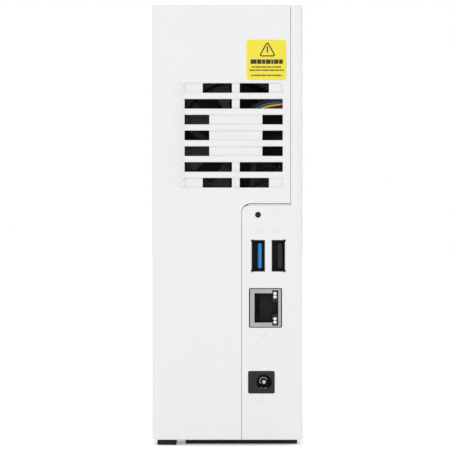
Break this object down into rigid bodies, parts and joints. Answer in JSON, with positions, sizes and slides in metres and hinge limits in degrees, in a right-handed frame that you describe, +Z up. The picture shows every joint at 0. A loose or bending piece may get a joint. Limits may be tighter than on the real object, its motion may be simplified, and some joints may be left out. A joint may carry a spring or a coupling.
{
  "type": "network attached storage",
  "caption": "Upright one-bay network storage box: white two-shell case, slotted fan grille, rear sockets, front panel with buttons, board, fan and hard disk inside.",
  "frame": {"origin": "on the supporting surface, under the middle of the case", "axes": "+Z up, +Y towards the rear face with the sockets and the grille, +X towards the cover's side wall"},
  "size_m": [0.0644, 0.156, 0.1886],
  "materials": {
    "white_case": "fine satin moulding texture",
    "white_front": "satin moulding, slightly glossier",
    "button_plastic": "satin grey",
    "foot_rubber": "matte",
    "caution_paper": "printed yellow film",
    "rating_paper": "printed grey film",
    "lens_plastic": "diffusing clear plastic",
    "board_green": "solder mask",
    "chip_black": "moulded package",
    "sink_aluminium": "anodised",
    "can_aluminium": "bright sleeve-less cans",
    "screw_steel": "zinc plated",
    "shield_metal": "tin plated sheet",
    "socket_black": "moulded insulator",
    "usb_blue": "moulded insulator",
    "contact_gold": "gold plated",
    "contact_nickel": "nickel plated",
    "plunger_plastic": "moulded",
    "fan_black": "moulded",
    "bearing_bronze": "sintered",
    "shaft_steel": "ground",
    "stator_copper": "wound copper on laminations",
    "plug_white": "moulded",
    "lead_black_sleeve": "insulation",
    "lead_blue_sleeve": "insulation",
    "lead_yellow_sleeve": "insulation",
    "lead_red_sleeve": "insulation",
    "bracket_steel": "galvanised sheet",
    "drive_casting": "painted casting",
    "lid_steel": "stamped lid",
    "platter_mirror": "polished discs",
    "arm_aluminium": "machined"
  },
  "bodies": {
    "chassis": {"backplane_board": "board_green", "backplane_socket": "socket_black", "board_chips": "chip_black", "board_screws": "screw_steel", "bracket_screws": "screw_steel", "capacitors": "can_aluminium", "chassis_feet": "foot_rubber", "chassis_shell": "white_case", "dc_jack_body": "socket_black", "dc_jack_contacts": "contact_nickel", "drive_base": "drive_casting", "drive_board": "board_green", "drive_bracket": "bracket_steel", "drive_connector": "socket_black", "drive_lid": "lid_steel", "drive_lid_screws": "screw_steel", "drive_screws": "screw_steel", "fan_bearing": "bearing_bronze", "fan_bracket": "bracket_steel", "fan_frame": "fan_black", "fan_header": "plug_white", "fan_lead_black": "lead_black_sleeve", "fan_lead_blue": "lead_blue_sleeve", "fan_lead_red": "lead_red_sleeve", "fan_lead_yellow": "lead_yellow_sleeve", "fan_plug": "plug_white", "fan_screws": "screw_steel", "fan_stator": "stator_copper", "front_bezel": "white_front", "front_switches": "socket_black", "front_usb_core": "socket_black", "front_usb_shell": "shield_metal", "heat_sink": "sink_aluminium", "lan_contacts": "contact_gold", "lan_core": "socket_black", "lan_lamps": "lens_plastic", "lan_shield": "shield_metal", "light_pipe": "lens_plastic", "main_board": "board_green", "power_coils": "chip_black", "rating_label": "rating_paper", "reset_switch": "socket_black", "sata_receptacle": "socket_black", "status_leds": "chip_black", "usb3_tongues": "usb_blue", "usb_contacts": "contact_gold", "usb_stack_core": "socket_black", "usb_stack_shell": "shield_metal"},
    "cover": {"side_cover": "white_case", "cover_feet": "foot_rubber", "caution_label": "caution_paper"},
    "power_key": {"power_button": "button_plastic", "power_plunger": "plunger_plastic"},
    "copy_key": {"copy_button": "button_plastic", "copy_plunger": "plunger_plastic"},
    "reset_pin": {"reset_plunger": "plunger_plastic"},
    "fan_wheel": {"fan_rotor": "fan_black", "fan_shaft": "shaft_steel"},
    "disc_stack": {"drive_platters": "platter_mirror"},
    "head_arm": {"drive_arm": "arm_aluminium"}
  },
  "joints": [
    {"name": "cover_slide", "type": "slide", "parent": "chassis", "child": "cover", "axis": [0, 1, 0], "range_m": [0, 0.152]},
    {"name": "power_press", "type": "slide", "parent": "chassis", "child": "power_key", "axis": [0, 1, 0], "range_m": [0, 0.0003], "stiffness_N_per_m": 600},
    {"name": "copy_press", "type": "slide", "parent": "chassis", "child": "copy_key", "axis": [0, 1, 0], "range_m": [0, 0.0003], "stiffness_N_per_m": 600},
    {"name": "reset_press", "type": "slide", "parent": "chassis", "child": "reset_pin", "axis": [0, -1, 0], "range_m": [0, 0.0003], "stiffness_N_per_m": 600},
    {"name": "fan_spin", "type": "hinge", "parent": "chassis", "child": "fan_wheel", "pos_m": [-0.0036, 0.06698, 0.1329], "axis": [0, 1, 0], "continuous": true},
    {"name": "platter_spin", "type": "hinge", "parent": "chassis", "child": "disc_stack", "pos_m": [0.012, -0.0072, 0.1142], "axis": [1, 0, 0], "continuous": true},
    {"name": "arm_swing", "type": "hinge", "parent": "chassis", "child": "head_arm", "pos_m": [0.012, 0.0178, 0.052], "axis": [-1, 0, 0], "range_deg": [0, 35]}
  ]
}
